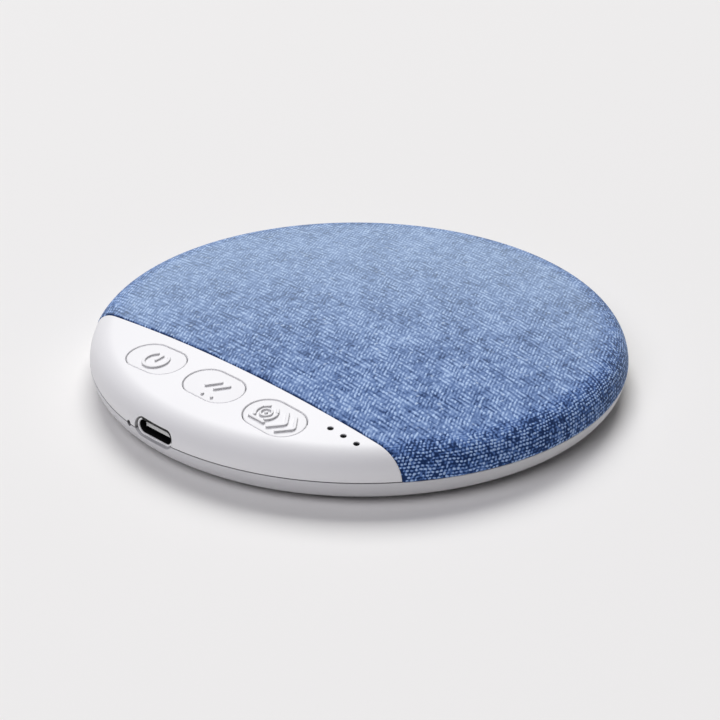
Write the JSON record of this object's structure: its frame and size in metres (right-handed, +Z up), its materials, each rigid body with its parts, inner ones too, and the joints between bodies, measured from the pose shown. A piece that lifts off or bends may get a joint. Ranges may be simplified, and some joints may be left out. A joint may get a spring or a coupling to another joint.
{
  "type": "pillow speaker",
  "caption": "Low round pillow speaker with a woven cloth top, a smooth control panel cut off by a straight chord, push buttons, indicator holes and a charging socket in its edge.",
  "frame": {"origin": "on the floor under the middle of the disc, at the bottom of the feet", "axes": "+Z up through the crown, -Y towards the control panel and the charging socket, +X to the right seen from there"},
  "size_m": [0.1, 0.0999, 0.0132],
  "materials": {
    "panel_white": "satin moulded plastic",
    "shell_white": "satin moulded plastic",
    "cloth_blue": "heathered woven cloth",
    "grille_grey": "moulded",
    "foot_rubber": "matt",
    "screw_steel": "plated",
    "button_white": "satin moulded plastic",
    "switch_black": "moulded",
    "plunger_grey": "moulded",
    "board_green": "solder mask",
    "chip_black": "moulded",
    "can_silver": "plated",
    "mic_gold": "plated",
    "led_lens": "clear resin",
    "baffle_black": "matt",
    "usb_steel": "plated",
    "usb_black": "moulded",
    "contact_gold": "plated",
    "battery_foil": "laminated foil",
    "tape_white": "foam",
    "wire_red": "insulation",
    "wire_black": "insulation",
    "basket_grey": "powder coat",
    "yoke_steel": "plated",
    "magnet_nickel": "nickel plated",
    "coil_copper": "enamelled wire",
    "cone_black": "pressed film",
    "surround_rubber": "matt",
    "gasket_foam": "foam",
    "tag_brown": "laminate"
  },
  "bodies": {
    "housing": {"bottom_shell": "shell_white", "control_panel": "panel_white", "speaker_grille": "grille_grey", "fabric_cover": "cloth_blue", "rubber_feet": "foot_rubber", "case_screws": "screw_steel", "power_switch": "switch_black", "pause_switch": "switch_black", "mode_switch": "switch_black", "circuit_board": "board_green", "board_screws": "screw_steel", "main_chip": "chip_black", "amplifier_chip": "chip_black", "charging_chip": "chip_black", "crystal": "can_silver", "microphone": "mic_gold", "indicator_leds": "led_lens", "light_baffle": "baffle_black", "usb_shell": "usb_steel", "usb_insert": "usb_black", "usb_contacts": "contact_gold", "battery_cell": "battery_foil", "battery_tape": "tape_white", "battery_board": "board_green", "battery_wire_red": "wire_red", "battery_wire_black": "wire_black", "driver_basket": "basket_grey", "driver_yoke": "yoke_steel", "driver_magnet": "magnet_nickel", "driver_pole_plate": "yoke_steel", "surround": "surround_rubber", "driver_gasket": "gasket_foam", "driver_screws": "screw_steel", "driver_terminal": "tag_brown", "speaker_wire_red": "wire_red", "speaker_wire_black": "wire_black"},
    "power_key": {"power_button": "button_white", "power_plunger": "plunger_grey"},
    "pause_key": {"pause_button": "button_white", "pause_plunger": "plunger_grey"},
    "mode_key": {"mode_button": "button_white", "mode_plunger": "plunger_grey"},
    "cone": {"voice_coil": "coil_copper", "diaphragm": "cone_black", "dust_cap": "cone_black"}
  },
  "joints": [
    {"name": "power_press", "type": "slide", "parent": "housing", "child": "power_key", "axis": [0, 0, -1], "range_m": [0, 0.0003], "stiffness_N_per_m": 2000, "springref_m": -0.0004},
    {"name": "pause_press", "type": "slide", "parent": "housing", "child": "pause_key", "axis": [0, 0, -1], "range_m": [0, 0.0003], "stiffness_N_per_m": 2000, "springref_m": -0.0004},
    {"name": "mode_press", "type": "slide", "parent": "housing", "child": "mode_key", "axis": [0, 0, -1], "range_m": [0, 0.0003], "stiffness_N_per_m": 2000, "springref_m": -0.0004},
    {"name": "cone_travel", "type": "slide", "parent": "housing", "child": "cone", "axis": [0, 0, 1], "range_m": [-0.0004, 0.0004], "stiffness_N_per_m": 1500, "deforming": ["surround"]}
  ]
}
